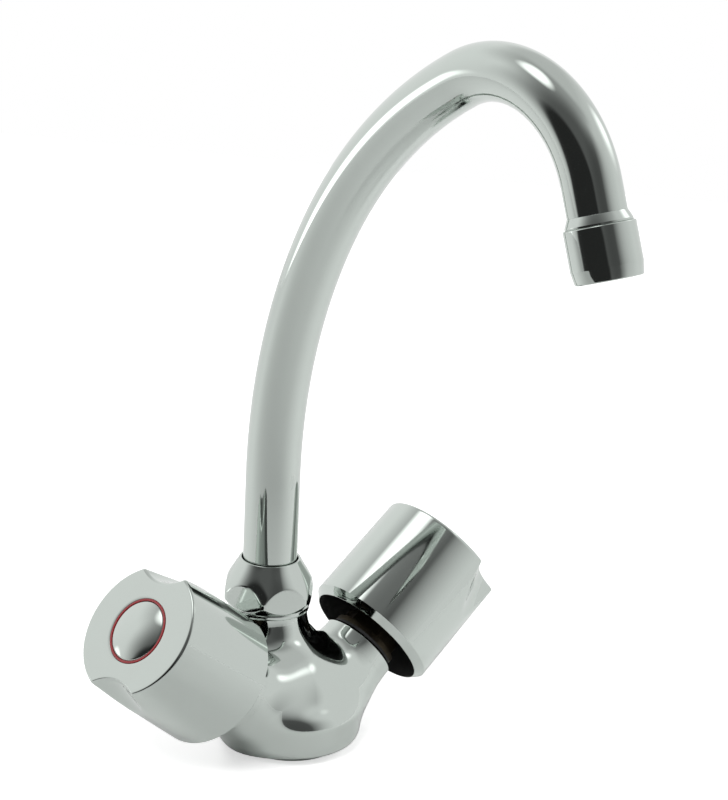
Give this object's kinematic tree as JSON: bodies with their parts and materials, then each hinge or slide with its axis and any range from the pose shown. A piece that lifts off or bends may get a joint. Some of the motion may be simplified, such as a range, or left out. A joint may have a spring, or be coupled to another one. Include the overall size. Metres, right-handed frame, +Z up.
{
  "type": "basin mixer tap",
  "caption": "Chrome two-handle monobloc basin mixer: angled hot and cold knobs on a small cast body, swivel gooseneck tube spout with an aerator nozzle.",
  "frame": {"origin": "centre of the foot's underside, on the basin's deck", "axes": "+Z up along the body; -Y towards the user, where the spout points at rest; +X to the cold handle"},
  "size_m": [0.174, 0.1908, 0.2817],
  "materials": {
    "chrome": "bright chrome plate",
    "brass": "machined brass",
    "steel": "plain stainless steel",
    "rubber": "black rubber",
    "white_plastic": "white acetal",
    "hot_red": "dark red gloss plastic",
    "cold_blue": "blue gloss plastic"
  },
  "bodies": {
    "tap_body": {"body": "chrome", "base_gasket": "rubber", "spout_nut": "chrome", "spout_slide_ring": "white_plastic", "hot_bonnet": "brass", "hot_bonnet_gasket": "rubber", "hot_gland": "brass", "cold_bonnet": "brass", "cold_bonnet_gasket": "rubber", "cold_gland": "brass"},
    "spout": {"spout_tube": "chrome", "spout_tail": "brass", "spout_orings": "rubber", "spout_thrust_ring": "white_plastic", "outlet_ferrule": "chrome", "aerator_housing": "chrome", "aerator_washer": "rubber", "aerator_insert": "white_plastic", "aerator_screen": "white_plastic"},
    "hot_handle": {"hot_knob": "chrome", "hot_knob_skirt": "chrome", "hot_knob_insert": "white_plastic", "hot_index_ring": "hot_red", "hot_index_cap": "chrome", "hot_knob_screw": "steel", "hot_spindle": "brass", "hot_spindle_orings": "rubber", "hot_spindle_circlip": "steel"},
    "hot_valve": {"hot_washer_carrier": "brass", "hot_valve_washer": "rubber", "hot_washer_nut": "brass"},
    "cold_handle": {"cold_knob": "chrome", "cold_knob_skirt": "chrome", "cold_knob_insert": "white_plastic", "cold_index_ring": "cold_blue", "cold_index_cap": "chrome", "cold_knob_screw": "steel", "cold_spindle": "brass", "cold_spindle_orings": "rubber", "cold_spindle_circlip": "steel"},
    "cold_valve": {"cold_washer_carrier": "brass", "cold_valve_washer": "rubber", "cold_washer_nut": "brass"}
  },
  "joints": [
    {"name": "spout_swivel", "type": "hinge", "parent": "tap_body", "child": "spout", "pos_m": [0, 0.0147, 0.058], "axis": [0, 0, 1], "continuous": true},
    {"name": "hot_turn", "type": "hinge", "parent": "tap_body", "child": "hot_handle", "pos_m": [0, 0, 0.0059], "axis": [-0.7965, 0, 0.6046], "range_deg": [0, 720]},
    {"name": "hot_lift", "type": "slide", "parent": "tap_body", "child": "hot_valve", "axis": [-0.7965, 0, 0.6046], "range_m": [0, 0.0041]},
    {"name": "cold_turn", "type": "hinge", "parent": "tap_body", "child": "cold_handle", "pos_m": [0, 0, 0.0059], "axis": [0.7965, 0, 0.6046], "range_deg": [0, 720]},
    {"name": "cold_lift", "type": "slide", "parent": "tap_body", "child": "cold_valve", "axis": [0.7965, 0, 0.6046], "range_m": [0, 0.0041]}
  ],
  "couplings": [
    {"joint": "hot_lift", "follows": "hot_turn", "m_per_rad": 0.00031831},
    {"joint": "cold_lift", "follows": "cold_turn", "m_per_rad": 0.00031831}
  ]
}
